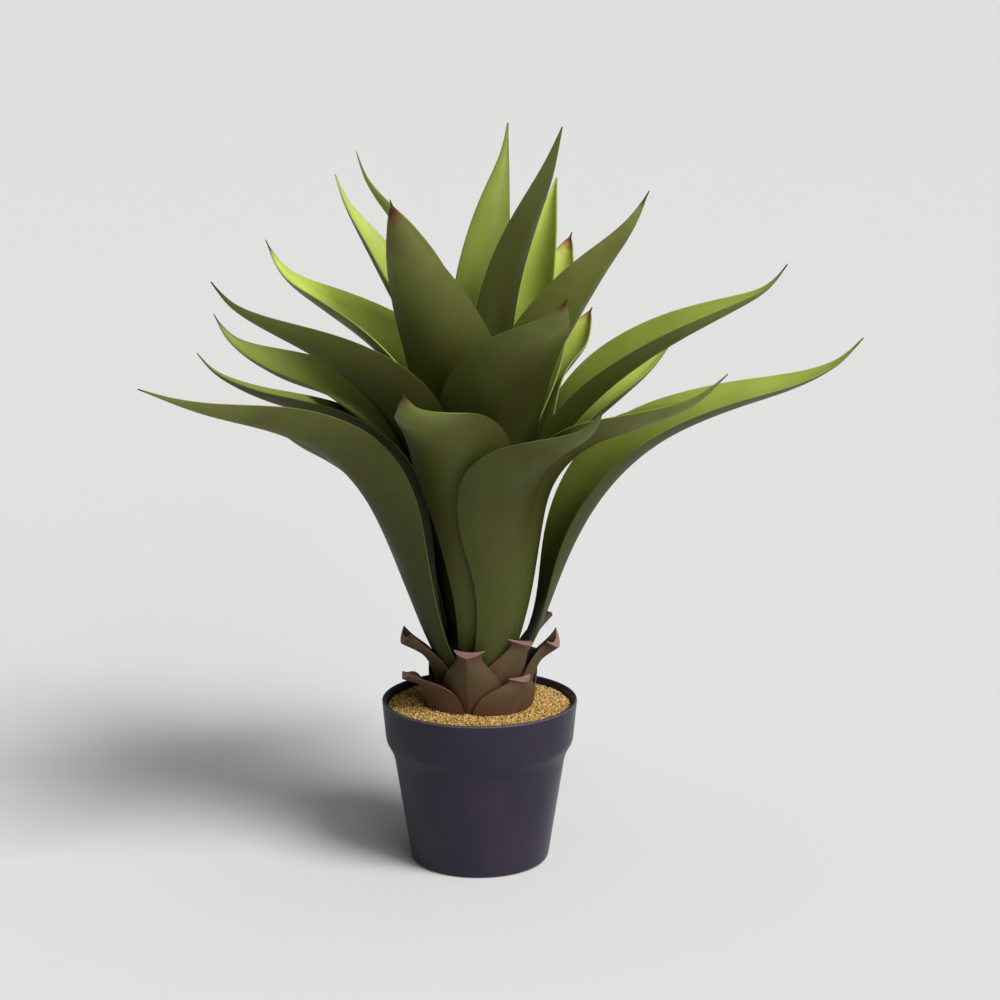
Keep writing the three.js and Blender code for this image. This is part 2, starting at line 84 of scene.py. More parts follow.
def startMaterial(name):
    material = bpy.data.materials.new(name)
    material.use_nodes = True
    return material, material.node_tree, material.node_tree.nodes["Principled BSDF"]


def addNode(tree, kind, inputs=None, **settings):
    node = tree.nodes.new(kind)
    for key, value in settings.items():
        setattr(node, key, value)
    for key, value in (inputs or {}).items():
        if isinstance(value, bpy.types.NodeSocket):
            tree.links.new(value, node.inputs[key])
        else:
            node.inputs[key].default_value = value
    return node


def addRamp(tree, factor, stops):
    node = addNode(tree, "ShaderNodeValToRGB", {"Fac": factor})
    elements = node.color_ramp.elements
    while len(elements) < len(stops):
        elements.new(0.5)
    for element, (position, colour) in zip(elements, stops):
        element.position = position
        element.color = (*colour, 1)
    return node.outputs["Color"]


def mixColours(tree, factor, first, second):
    node = addNode(tree, "ShaderNodeMix", {0: factor}, data_type="RGBA")
    for place, value in ((6, first), (7, second)):
        if isinstance(value, bpy.types.NodeSocket):
            tree.links.new(value, node.inputs[place])
        else:
            node.inputs[place].default_value = (*value, 1)
    return node.outputs[2]


def calculate(tree, operation, first, second):
    return addNode(tree, "ShaderNodeMath", {0: first, 1: second}, operation=operation).outputs[0]


def rescale(tree, value, low, high, newLow, newHigh):
    inputs = {"Value": value, "From Min": low, "From Max": high, "To Min": newLow, "To Max": newHigh}
    return addNode(tree, "ShaderNodeMapRange", inputs).outputs[0]


def addNoise(tree, vector, scale, detail=2.0, roughness=0.5):
    inputs = {"Vector": vector, "Scale": scale, "Detail": detail, "Roughness": roughness}
    return addNode(tree, "ShaderNodeTexNoise", inputs).outputs[0]


def addBump(tree, shader, height, strength, distance):
    inputs = {"Height": height, "Strength": strength, "Distance": distance}
    bump = addNode(tree, "ShaderNodeBump", inputs)
    tree.links.new(bump.outputs[0], shader.inputs["Normal"])


# A material whose colour and bump come from one noise, which a stretch below 1 draws out.
def makeNoiseMaterial(name, s):
    material, tree, shader = startMaterial(name)
    place = addNode(tree, "ShaderNodeTexCoord").outputs["Object"]
    if "stretch" in s:
        place = addNode(tree, "ShaderNodeMapping", {"Vector": place, "Scale": s["stretch"]}).outputs[0]
    grain = addNoise(tree, place, *s["noise"])
    tree.links.new(addRamp(tree, grain, s["colours"]), shader.inputs["Base Color"])
    shader.inputs["Roughness"].default_value = s["roughness"]
    addBump(tree, shader, grain, *s["bump"])
    return material


# Blades: the leaves and the cut bases share one layout in the frame. Each is a closed strip of
# rows and columns whose triangles all lean the same way, so that six of its eight corners have
# four edges: three at the root, of which two touch, and three at the tip.

weldDistance = 2e-6


def hopsFrom(starts):
    hops = {vert: 0 for vert in starts}
    queue = list(starts)
    for vert in queue:
        for edge in vert.link_edges:
            other = edge.other_vert(vert)
            if other not in hops:
                hops[other] = hops[vert] + 1
                queue.append(other)
    return hops


def readBlade(bm, columns):
    corners = sorted((v for v in bm.verts if len(v.link_edges) == 4), key=lambda v: v.co.z)
    rootCorners = corners[:3]
    lone = next(
        v for v in rootCorners
        if not any(e.other_vert(v) in rootCorners for e in v.link_edges)
    )
    pair = [v for v in rootCorners if v is not lone]
    twin = min((e.other_vert(lone) for e in lone.link_edges), key=lambda v: (v.co - lone.co).length)
    fromPair = hopsFrom(pair)
    fromLone = hopsFrom([lone, twin])
    place = {}
    for vert in bm.verts:
        lead = fromPair[vert] - columns
        row = fromLone[vert] + min(lead, 0)
        place[vert] = (row, row - lead)
    insideFaces = sheetFaces(lone, place)
    insideVerts = {v for face in insideFaces for v in face.verts}
    return {v: (int(v in insideVerts), *place[v]) for v in bm.verts}


def isSheet(face, place):
    rows = {place[v][0] for v in face.verts}
    columns = {place[v][1] for v in face.verts}
    return len(rows) > 1 and len(columns) > 1


def sheetFaces(corner, place):
    found = {face for face in corner.link_faces if isSheet(face, place)}
    queue = list(found)
    for face in queue:
        for edge in face.edges:
            for other in edge.link_faces:
                if other not in found and isSheet(other, place):
                    found.add(other)
                    queue.append(other)
    return found


# Copies a blade out of the frame, turns its triangles to quads, and gives it a map: across in U
# and along in V. Faces get material 0 inside the channel, 1 outside, 2 on the margins, 3 at the tip.
# Each look is a pair of values, at the root and at the tip. A waist makes its end a thin spine.
def makeBlade(name, materials, settings, looks, waist=None):
    columns = settings["columns"]
    bm = bmesh.new()
    bm.from_mesh(nodes[name].data)
    bmesh.ops.remove_doubles(bm, verts=bm.verts, dist=weldDistance)
    place = readBlade(bm, columns)
    diagonals = []
    for edge in bm.edges:
        first, second = (place[v] for v in edge.verts)
        if sum(a != b for a, b in zip(first, second)) == 2:
            diagonals.append(edge)
    bmesh.ops.dissolve_edges(bm, edges=diagonals, use_verts=False)
    if waist:
        narrowTip(bm, place, columns, waist)
    lastRow = max(row for sheet, row, column in place.values())

    midrib = {place[v][1]: v.co for v in bm.verts if place[v][0] == 1 and place[v][2] == columns // 2}
    lengths = [0.0]
    for row in range(lastRow):
        lengths.append(lengths[-1] + (midrib[row + 1] - midrib[row]).length)

    crease = bm.edges.layers.float.new("crease_edge")
    for edge in bm.edges:
        sheets = [isQuadSheet(face, place) for face in edge.link_faces]
        corner = all(place[v][1] in (0, lastRow) and place[v][2] in (0, columns) for v in edge.verts)
        if sheets.count(True) == 1:
            edge[crease] = 1.0
            edge.smooth = False
        elif corner and not any(sheets):
            edge[crease] = 1.0
        if settings["keel"] and all(place[v][2] == columns // 2 and not place[v][0] for v in edge.verts):
            edge[crease] = settings["keel"]
    uvMap = bm.loops.layers.uv.new("bladeMap")
    for face in bm.faces:
        face.smooth = True
        face.material_index = faceMaterial(face, place, lastRow)
        for loop in face.loops:
            sheet, row, column = place[loop.vert]
            loop[uvMap].uv = (column / columns, lengths[row] / lengths[-1])
    shares = [lengths[place[v][1]] / lengths[-1] for v in bm.verts]

    mesh = bpy.data.meshes.new(name + "_blade")
    bm.to_mesh(mesh)
    bm.free()
    for material in materials:
        mesh.materials.append(material)
    for key, (root, tip) in looks.items():
        values = [root + (tip - root) * share for share in shares]
        mesh.attributes.new(key, "FLOAT", "POINT").data.foreach_set("value", values)
    blade = bpy.data.objects.new(name + "_blade", mesh)
    scene.collection.objects.link(blade)
    subdivide(blade, settings["levels"])
    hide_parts(name)
    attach(blade, "root")
    return blade


# Cuts one more row in near the tip and draws it and the tip in, so that the blade ends in a thin spine.
def narrowTip(bm, place, columns, waist):
    lastRow = max(row for sheet, row, column in place.values())
    tips = [v for v in bm.verts if place[v][1] == lastRow]
    added = {}
    for edge in [e for e in bm.edges if {place[v][1] for v in e.verts} == {lastRow - 1, lastRow}]:
        tip = max(edge.verts, key=lambda v: place[v][1])
        added[bmesh.utils.edge_split(edge, tip, waist["place"])[1]] = place[tip]
    for face in list(dict.fromkeys(face for v in added for face in v.link_faces)):
        bmesh.utils.face_split(face, *[v for v in face.verts if v in added])
    for tip in tips:
        sheet, row, column = place[tip]
        place[tip] = (sheet, row + 1, column)
    place.update(added)
    for row, share in ((lastRow, waist["share"]), (lastRow + 1, waist["tipShare"])):
        verts = [v for v in bm.verts if place[v][1] == row]
        left, right = (next(v.co.copy() for v in verts if place[v] == (0, row, c)) for c in (0, columns))
        middle = (left + right) / 2
        across = (right - left).normalized()
        for vert in verts:
            vert.co -= across * (vert.co - middle).dot(across) * (1 - share)


def isQuadSheet(face, place):
    return len({place[v][0] for v in face.verts}) == 1


def faceMaterial(face, place, lastRow):
    sheets = {place[v][0] for v in face.verts}
    if len(sheets) == 1:
        return 0 if sheets == {1} else 1
    rows = {place[v][1] for v in face.verts}
    if rows == {lastRow}:
        return 3
    return 2


def subdivide(piece, levels):
    modifier = piece.modifiers.new("smoothing", "SUBSURF")
    modifier.levels = levels
    modifier.render_levels = levels
    modifier.boundary_smooth = "PRESERVE_CORNERS"


# Leaves

leafSettings = {
    "columns": 6,
    "levels": 2,
    "keel": 0,
    "tone": (0.9, 1.1),
    "spine": (0.2, 0.8),
    "thinSpine": 0.5,           # redness of a spine from which it's thin too
    "waist": {"place": 0.6, "share": 0.28, "tipShare": 0.5},   # place: from the tip to the row before
    "seed": 11,
}

# How light a leaf is at its root and at its tip, then how red its spine is: 0 is a green tip and 1
# a long red one. The two levels are partly the leaf's own tone and partly painted light and shade:
# they brighten leaves and parts of leaves that lie in their neighbours' shadow, as the back left upper
# leaf's root, and darken leaves seen in shade, as the left inner leaf. Leaves that the photograph
# doesn't show draw theirs from the settings.
leafLooksWithPaintedLight = {
    "leaf_front_left_low": (0.80, 1.40, 0.35),
    "leaf_front_low": (1.35, 0.85, 0.25),
    "leaf_right_low": (1.10, 1.10, 0.45),
    "leaf_front_left_second": (1.50, 1.10, 0.80),
    "leaf_front_right_second": (1.30, 1.45, 0.10),
    "leaf_back_right_second": (0.50, 1.35, 0.80),
    "leaf_left_second": (0.62, 0.62, 0.10),
    "leaf_left_third": (0.65, 0.58, 0.75),
    "leaf_front_left_third": (0.95, 0.95, 0.30),
    "leaf_front_third": (0.60, 1.20, 0.60),
    "leaf_back_right_third": (1.50, 1.50, 0.40),
    "leaf_front_upper": (1.45, 1.25, 0.95),
    "leaf_right_upper": (0.70, 1.40, 0.50),
    "leaf_back_right_upper": (1.45, 1.45, 0.95),
    "leaf_back_left_upper": (4.20, 1.35, 0.90),
    "leaf_front_right_inner": (1.50, 0.65, 0.05),
    "leaf_right_inner": (2.80, 1.50, 0.50),
    "leaf_left_inner": (0.55, 0.55, 0.00),
    "leaf_back_right_inner": (0.40, 1.20, 0.10),
    "leaf_back_left_inner": (1.10, 1.10, 0.00),
    "leaf_back_inner": (1.70, 0.50, 0.00),
    "leaf_back_right_heart": (1.55, 1.55, 0.00),
}

# Colours against the share of the leaf's length, from the root to the spine. The inside, outside and
# margin colours grow darker towards the root: partly the leaf's own colour and partly painted shade
# where the leaves crowd together at the heart of the rosette.
leafColours = {
    "inside": [
        (0.00, (0.030, 0.048, 0.008)),
        (0.30, (0.110, 0.145, 0.020)),
        (0.55, (0.240, 0.305, 0.045)),
        (0.85, (0.330, 0.410, 0.066)),
        (1.00, (0.350, 0.390, 0.070)),
    ],
    "outside": [
        (0.00, (0.038, 0.046, 0.009)),
        (0.30, (0.042, 0.049, 0.009)),
        (0.55, (0.049, 0.055, 0.011)),
        (0.75, (0.078, 0.087, 0.020)),
        (0.90, (0.116, 0.131, 0.032)),
        (1.00, (0.116, 0.126, 0.034)),
    ],
    "margin": [
        (0.00, (0.050, 0.064, 0.014)),
        (0.35, (0.105, 0.135, 0.028)),
        (1.00, (0.215, 0.270, 0.060)),
    ],
    "insideSpine": [
        (0.920, (0.420, 0.235, 0.050)),
        (0.950, (0.390, 0.145, 0.040)),
        (0.978, (0.240, 0.078, 0.028)),
        (1.000, (0.080, 0.034, 0.018)),
    ],
    "outsideSpine": [
        (0.920, (0.125, 0.064, 0.020)),
        (0.950, (0.120, 0.036, 0.014)),
        (0.978, (0.090, 0.025, 0.011)),
        (1.000, (0.034, 0.016, 0.010)),
    ],
    "bronze": (0.086, 0.062, 0.024),
}

leafFinish = {
    "spineStart": (0.985, 0.936),       # where the spine's colour starts, green and red
    "spineBlend": 0.035,
    "spineWander": 0.012,
    "wanderNoise": (140, 3),            # scale per metre, then detail
    "greenSpine": 0.15,                 # below this a spine keeps the leaf's green
    "streaks": (46, 3, 1),              # fine lines across the blade, and their breaks along it
    "streakDetail": 3,
    "streakShade": 0.05,
    "patchNoise": (17, 3, 0.6),
    "patchShade": 0.13,
    "bronzeNoise": (0.48, 0.72),        # the patches' values between which the bronze comes in
    "bronze": {"inside": 0.0, "outside": 0.32, "margin": 0.0},
    "poreNoise": (1100, 2),
    "bump": (0.06, 0.0004),             # strength and distance
    "roughness": (0.46, 0.62),
    "specular": {"inside": 0.3, "outside": 0.14, "margin": 0.2},
}


def makeLeafMaterial(kind, finish):
    material, tree, shader = startMaterial("leaf" + kind.capitalize())
    bladeMap = addNode(tree, "ShaderNodeUVMap", uv_map="bladeMap").outputs[0]
    place = addNode(tree, "ShaderNodeTexCoord").outputs["Object"]
    along = addNode(tree, "ShaderNodeSeparateXYZ", {0: bladeMap}).outputs[1]
    # Colour along the blade, darker towards the root: partly the leaf's own colour, partly painted shade
    # at the rosette's heart
    colour = addRamp(tree, along, leafColours[kind])
    patches = addNoise(tree, place, *finish["patchNoise"])
    bronze = rescale(tree, patches, *finish["bronzeNoise"], 0, finish["bronze"][kind])
    colour = mixColours(tree, bronze, colour, leafColours["bronze"])

    streakMap = {"Vector": bladeMap, "Scale": finish["streaks"]}
    stretched = addNode(tree, "ShaderNodeMapping", streakMap).outputs[0]
    streaks = addNoise(tree, stretched, 1.0, finish["streakDetail"])
    streakShade, patchShade = finish["streakShade"], finish["patchShade"]
    streakLevel = rescale(tree, streaks, *usualNoise, 1 - streakShade, 1 + streakShade)
    patchLevel = rescale(tree, patches, *usualNoise, 1 + patchShade, 1 - patchShade)
    # The tone attribute: each leaf's own tone, and for the listed leaves painted light and shade along
    # the blade
    tone = addNode(tree, "ShaderNodeAttribute", attribute_name="tone").outputs["Fac"]
    level = calculate(tree, "MULTIPLY", calculate(tree, "MULTIPLY", streakLevel, patchLevel), tone)
    colour = addNode(tree, "ShaderNodeHueSaturation", {"Color": colour, "Value": level}).outputs[0]

    wander = addNoise(tree, place, *finish["wanderNoise"])
    offset = rescale(tree, wander, *usualNoise, -finish["spineWander"], finish["spineWander"])
    spineAlong = calculate(tree, "ADD", along, offset)
    spine = addNode(tree, "ShaderNodeAttribute", attribute_name="spine").outputs["Fac"]
    start = rescale(tree, spine, 0, 1, *finish["spineStart"])
    end = calculate(tree, "ADD", start, finish["spineBlend"])
    reach = rescale(tree, spineAlong, start, end, 0, 1)
    share = rescale(tree, spine, 0, finish["greenSpine"], 0, 1)
    spineStops = leafColours["insideSpine" if kind == "inside" else "outsideSpine"]
    spineColour = addRamp(tree, spineAlong, spineStops)
    colour = mixColours(tree, calculate(tree, "MULTIPLY", reach, share), colour, spineColour)
    tree.links.new(colour, shader.inputs["Base Color"])

    roughness = rescale(tree, patches, *usualNoise, *finish["roughness"])
    tree.links.new(roughness, shader.inputs["Roughness"])
    shader.inputs["Specular IOR Level"].default_value = finish["specular"][kind]
    pores = addNoise(tree, place, *finish["poreNoise"])
    addBump(tree, shader, calculate(tree, "ADD", streaks, pores), *finish["bump"])
    return material


def makeLeaves(settings):
    kinds = ("inside", "outside", "margin")
    inside, outside, margin = (makeLeafMaterial(kind, leafFinish) for kind in kinds)
    draw = random.Random(settings["seed"])
    for name in leafNames:
        tone, spine = draw.uniform(*settings["tone"]), draw.uniform(*settings["spine"])
        # Root and tip levels: the leaf's own tone together with painted light and shade
        rootToneAndPaintedLight, tipToneAndPaintedLight, spine = leafLooksWithPaintedLight.get(name, (tone, tone, spine))
        looks = {"tone": (rootToneAndPaintedLight, tipToneAndPaintedLight), "spine": (spine, spine)}
        waist = settings["waist"] if spine >= settings["thinSpine"] else None
        leaf = makeBlade(name, [inside, outside, margin, margin], settings, looks, waist)
    print("leaves made:", len(leafNames))


# Cut bases of old leaves

cutBaseSettings = {
    "columns": 6,
    "levels": 3,
    "keel": 0.35,
    "tone": (0.9, 1.1),
    "seed": 4,
}

# Colours against the share of the length, from the foot to the cut.
cutBaseColours = {
    "skin": [
        (0.00, (0.100, 0.038, 0.022)),
        (0.30, (0.085, 0.048, 0.022)),
        (0.75, (0.072, 0.050, 0.020)),
        (1.00, (0.088, 0.046, 0.026)),
    ],
    "inside": [
        (0.00, (0.038, 0.026, 0.014)),
        (1.00, (0.060, 0.042, 0.022)),
    ],
    "margin": [
        (0.00, (0.070, 0.030, 0.019)),
        (1.00, (0.095, 0.044, 0.030)),
    ],
    "speck": (0.240, 0.160, 0.090),
    "patch": (0.110, 0.046, 0.028),
    "keel": (0.135, 0.088, 0.046),
}

cutBaseFinish = {
    "patchNoise": (48, 4, 0.6),         # scale per metre, detail and roughness
    "patchReach": (0.48, 0.66),         # the noise's values between which the patches come in
    "patchShare": 0.6,
    "speckNoise": (420, 1),
    "speckReach": (0.70, 0.74),
    "speckShare": 0.16,
    "keelWidth": (0.030, 0.006),        # share of the width, from where the line starts to its crest
    "keelShare": 0.28,
    "fibres": (34, 2.5, 1),
    "fibreDetail": 4,
    "fibreShade": 0.05,
    "bump": (0.12, 0.0006),
    "roughness": (0.55, 0.75),
    "specular": 0.25,
}

cutFaceFinish = {
    "noise": (320, 4, 0.7),
    "colours": [
        (0.30, (0.185, 0.095, 0.085)),
        (0.50, (0.250, 0.140, 0.128)),
        (0.70, (0.310, 0.185, 0.172)),
    ],
    "roughness": 0.8,
    "bump": (0.5, 0.0006),
}


def makeCutBaseMaterial(kind, finish):
    material, tree, shader = startMaterial("cutBase" + kind.capitalize())
    bladeMap = addNode(tree, "ShaderNodeUVMap", uv_map="bladeMap").outputs[0]
    place = addNode(tree, "ShaderNodeTexCoord").outputs["Object"]
    across, along = addNode(tree, "ShaderNodeSeparateXYZ", {0: bladeMap}).outputs[:2]
    colour = addRamp(tree, along, cutBaseColours[kind])
    patches = addNoise(tree, place, *finish["patchNoise"])
    patch = rescale(tree, patches, *finish["patchReach"], 0, finish["patchShare"])
    colour = mixColours(tree, patch, colour, cutBaseColours["patch"])
    specks = addNoise(tree, place, *finish["speckNoise"])
    speck = rescale(tree, specks, *finish["speckReach"], 0, finish["speckShare"])
    colour = mixColours(tree, speck, colour, cutBaseColours["speck"])
    if kind == "skin":
        fromMiddle = calculate(tree, "SUBTRACT", across, 0.5)
        offKeel = calculate(tree, "ABSOLUTE", fromMiddle, 0)
        keel = rescale(tree, offKeel, *finish["keelWidth"], 0, finish["keelShare"])
        colour = mixColours(tree, keel, colour, cutBaseColours["keel"])
    fibreMap = {"Vector": bladeMap, "Scale": finish["fibres"]}
    stretched = addNode(tree, "ShaderNodeMapping", fibreMap).outputs[0]
    fibres = addNoise(tree, stretched, 1.0, finish["fibreDetail"])
    shade = finish["fibreShade"]
    tone = addNode(tree, "ShaderNodeAttribute", attribute_name="tone").outputs["Fac"]
    fibreLevel = rescale(tree, fibres, *usualNoise, 1 - shade, 1 + shade)
    level = calculate(tree, "MULTIPLY", fibreLevel, tone)
    hue = addNode(tree, "ShaderNodeHueSaturation", {"Color": colour, "Value": level})
    tree.links.new(hue.outputs[0], shader.inputs["Base Color"])
    roughness = rescale(tree, patches, *usualNoise, *finish["roughness"])
    tree.links.new(roughness, shader.inputs["Roughness"])
    shader.inputs["Specular IOR Level"].default_value = finish["specular"]
    addBump(tree, shader, fibres, *finish["bump"])
    return material


def makeCutBases(settings):
    kinds = ("skin", "inside", "margin")
    skin, inside, margin = (makeCutBaseMaterial(kind, cutBaseFinish) for kind in kinds)
    cut = makeNoiseMaterial("cutBaseCutFace", cutFaceFinish)
    draw = random.Random(settings["seed"])
    for name in cutBaseNames:
        tone = draw.uniform(*settings["tone"])
        base = makeBlade(name, [inside, skin, margin, cut], settings, {"tone": (tone, tone)})
    print("cut bases made:", len(cutBaseNames))


# Turned pieces: an outline of (radius, height, rounding) corners, spun about the upright axis


def roundedOutline(corners, steps=5):
    points = []
    for index, (radius, height, rounding) in enumerate(corners):
        corner = Vector((radius, 0, height))
        if not rounding:
            points.append(corner)
            continue
        before = Vector((corners[index - 1][0], 0, corners[index - 1][1]))
        after = Vector((corners[index + 1][0], 0, corners[index + 1][1]))
        start = corner + (before - corner).normalized() * rounding
        end = corner + (after - corner).normalized() * rounding
        for step in range(steps + 1):
            share = step / steps
            points.append(start.lerp(corner, share).lerp(corner.lerp(end, share), share))
    return points


def spinOutline(points, segments):
    bm = bmesh.new()
    verts = [bm.verts.new(point) for point in points]
    edges = [bm.edges.new(pair) for pair in zip(verts, verts[1:])]
    bmesh.ops.spin(
        bm, geom=verts + edges, cent=(0, 0, 0), axis=(0, 0, 1), dvec=(0, 0, 0),
        angle=math.tau, steps=segments, use_merge=True, use_duplicate=False,
    )
    bmesh.ops.remove_doubles(bm, verts=bm.verts, dist=weldDistance)
    bmesh.ops.recalc_face_normals(bm, faces=bm.faces)
    for face in bm.faces:
        face.smooth = True
    return bm


def finishPiece(name, bm, material, replaced):
    mesh = bpy.data.meshes.new(name)
    bm.to_mesh(mesh)
    bm.free()
    mesh.materials.append(material)
    piece = bpy.data.objects.new(name, mesh)
    scene.collection.objects.link(piece)
    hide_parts(replaced)
    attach(piece, "root")
    return piece


# Pot

potSettings = {
    "segments": 144,
    "lipWidth": 0.0038,
    "wall": 0.003,
    "collarFoot": (0.0815, 0.107),      # radius and height
    "neck": (0.075, 0.096),
    "base": (0.060, 0.0),
    "floor": 0.005,
    "footRing": (0.052, 0.025, 0.024),  # inner radius of the ring, then the pad's two radii
    "recess": 0.0015,
    "taper": 0.001,
    "rounding": {
        "foot": 0.0004, "base": 0.004, "neck": 0.007, "collar": 0.004, "lip": 0.0018,
        "inside": 0.003, "floor": 0.002,
    },
    "drainHoles": 6,
    "drainRadius": 0.005,
    "drainCircle": 0.038,
    "drainSegments": 32,
    "lipPaintedHighlight": (-0.0017, -0.0011),      # off the lip's outer corner, from where its painted highlight starts: a pale line standing in for the lip's reflection
    "lipPaintedHighlightShare": 0.7,
    "lipPaintedHighlightColour": (0.110, 0.108, 0.120),
    "colours": [(0.3, (0.024, 0.020, 0.034)), (0.7, (0.031, 0.025, 0.042))],
    "cloudNoise": (22, 3),              # scale per metre, then detail
    "grainNoise": (1500, 2),
    "bump": (0.08, 0.0002),             # strength and distance
    "roughness": (0.30, 0.40),
    "specular": 0.13,
}


def potOutline(s):
    rim = potTop.x
    top = potTop.z
    collarRadius, collarHeight = s["collarFoot"]
    neckRadius, neckHeight = s["neck"]
    baseRadius = s["base"][0]
    ringRadius, padOuter, padInner = s["footRing"]
    innerRim = rim - s["lipWidth"]
    inset = s["wall"] + s["taper"]
    rounding = s["rounding"]
    foot = rounding["foot"]
    return roundedOutline([
        (0, 0, 0),
        (padInner, 0, foot),
        (padOuter, s["recess"], foot),
        (ringRadius - s["taper"], s["recess"], foot),
        (ringRadius, 0, foot),
        (baseRadius, 0, rounding["base"]),
        (neckRadius, neckHeight, rounding["neck"]),
        (collarRadius, collarHeight, rounding["collar"]),
        (rim, top, rounding["lip"]),
        (innerRim, top, rounding["lip"]),
        (collarRadius - inset, collarHeight, rounding["inside"]),
        (neckRadius - s["wall"], neckHeight, rounding["inside"]),
        (baseRadius - inset, s["floor"], rounding["floor"]),
        (0, s["floor"], 0),
    ])


def makePotMaterial(s):
    material, tree, shader = startMaterial("potPlastic")
    place = addNode(tree, "ShaderNodeTexCoord").outputs["Object"]
    clouds = addNoise(tree, place, *s["cloudNoise"])
    colour = addRamp(tree, clouds, s["colours"])
    # Painted highlight: a pale line mixed into the colour near the lip's outer corner, where radius and
    # height add up to the lip's; it stands in for light caught by the rounded lip
    x, y, height = addNode(tree, "ShaderNodeSeparateXYZ", {0: place}).outputs
    xSquared, ySquared = (calculate(tree, "MULTIPLY", side, side) for side in (x, y))
    radius = calculate(tree, "SQRT", calculate(tree, "ADD", xSquared, ySquared), 0)
    outAndUp = calculate(tree, "ADD", radius, height)
    reach = calculate(tree, "SUBTRACT", outAndUp, potTop.x + potTop.z)
    edge = rescale(tree, reach, *s["lipPaintedHighlight"], 0, s["lipPaintedHighlightShare"])
    colour = mixColours(tree, edge, colour, s["lipPaintedHighlightColour"])
    tree.links.new(colour, shader.inputs["Base Color"])
    roughness = rescale(tree, clouds, *usualNoise, *s["roughness"])
    tree.links.new(roughness, shader.inputs["Roughness"])
    shader.inputs["Specular IOR Level"].default_value = s["specular"]
    addBump(tree, shader, addNoise(tree, place, *s["grainNoise"]), *s["bump"])
    return material


def makePot(s):
    outline = spinOutline(potOutline(s), s["segments"])
    pot = finishPiece("nurseryPot", outline, makePotMaterial(s), "pot")
    drill = bmesh.new()
    for hole in range(s["drainHoles"]):
        angle = math.tau * hole / s["drainHoles"]
        made = bmesh.ops.create_cone(
            drill, cap_ends=True, segments=s["drainSegments"],
            radius1=s["drainRadius"], radius2=s["drainRadius"], depth=4 * s["floor"],
        )
        offset = (math.cos(angle) * s["drainCircle"], math.sin(angle) * s["drainCircle"], 0)
        bmesh.ops.translate(drill, verts=made["verts"], vec=offset)
    drillMesh = bpy.data.meshes.new("drainDrill")
    drill.to_mesh(drillMesh)
    drill.free()
    drillPiece = bpy.data.objects.new("drainDrill", drillMesh)
    scene.collection.objects.link(drillPiece)
    modifier = pot.modifiers.new("drainHoles", "BOOLEAN")
    modifier.operation = "DIFFERENCE"
    modifier.solver = "EXACT"
    modifier.object = drillPiece
    applyModifiers(pot)
    bpy.data.objects.remove(drillPiece)
    print("pot made:", len(pot.data.polygons), "faces")


def applyModifiers(piece):
    bpy.context.view_layer.update()
    evaluated = piece.evaluated_get(bpy.context.evaluated_depsgraph_get())
    mesh = bpy.data.meshes.new_from_object(evaluated)
    piece.modifiers.clear()
    piece.data = mesh


# Sand, stem and soil

sandSettings = {
    "segments": 220,
    "ringStep": 0.0011,
    "roll": 0.0007,             # gentle unevenness
    "rollScale": 70,
    "inner": 0.034,
    "plateau": 0.058,
    "edgeDrop": 0.004,
    "bottom": 0.0105,           # below the top
    "gap": 0.0003,
    "doublings": 13,            # 8192 grains
    "grainRadius": (0.0006, 0.0011),
    "grainSquash": (0.6, 0.95),
    "grainLift": (-0.1, 0.35),  # of a grain's size
    "grainJitter": (0.8, 1.15),
    "grainShade": (1.2, 1.2),
    "bedShade": (0.1, 0.6),
    "firstGrain": 0.036,
    "seed": 23,
    "speckleNoise": (900, 2),   # scale per metre, then detail
    "speckleShade": 0.2,
    "roughness": 0.75,
    "bump": (0.5, 0.0004),      # strength and distance
}

sandColours = [
    (0.00, (0.120, 0.058, 0.012)),
    (0.35, (0.380, 0.215, 0.048)),
    (0.70, (0.620, 0.400, 0.115)),
    (1.00, (0.900, 0.700, 0.330)),
]


def sandHeight(s, x, y):
    radius = math.hypot(x, y)
    share = (radius - s["plateau"]) / (sandTop.x - s["plateau"])
    slope = s["edgeDrop"] * min(max(share, 0), 1)
    roll = s["roll"] * noise.noise(Vector((x, y, 0)) * s["rollScale"])
    return sandTop.z - slope - s["roll"] + roll


def makeSandMaterial(s):
    material, tree, shader = startMaterial("sandGrains")
    place = addNode(tree, "ShaderNodeTexCoord").outputs["Object"]
    tone = addNode(tree, "ShaderNodeAttribute", attribute_name="grainTone").outputs["Fac"]
    speckle = addNoise(tree, place, *s["speckleNoise"])
    offset = rescale(tree, speckle, *usualNoise, -s["speckleShade"], s["speckleShade"])
    mixed = calculate(tree, "ADD", tone, offset)
    tree.links.new(addRamp(tree, mixed, sandColours), shader.inputs["Base Color"])
    shader.inputs["Roughness"].default_value = s["roughness"]
    addBump(tree, shader, speckle, *s["bump"])
    return material


def makeSand(s):
    outer = sandTop.x
    top = sandTop.z
    bottom = top - s["bottom"]
    rings = int((outer - s["inner"]) / s["ringStep"])
    surface = [outer - (outer - s["inner"]) * ring / rings for ring in range(rings + 1)]
    points = [Vector((s["inner"], 0, bottom)), Vector((outer - s["gap"], 0, bottom))]
    points += [Vector((radius, 0, top)) for radius in surface]
    points.append(Vector((s["inner"], 0, bottom)))
    bm = spinOutline(points, s["segments"])
    draw = random.Random(s["seed"])
    tone = bm.verts.layers.float.new("grainTone")
    for vert in bm.verts:
        vert[tone] = draw.uniform(*s["bedShade"])
        if vert.co.z > top - s["gap"]:
            vert.co.z = sandHeight(s, vert.co.x, vert.co.y)
    grainMesh = bpy.data.meshes.new("looseGrains")
    grains = makeGrains(s, draw, outer)
    grains.to_mesh(grainMesh)
    grains.free()
    bm.from_mesh(grainMesh)
    bpy.data.meshes.remove(grainMesh)
    sand = finishPiece("sandTopping", bm, makeSandMaterial(s), "sand_topping")
    print("sand made:", len(sand.data.polygons), "faces")


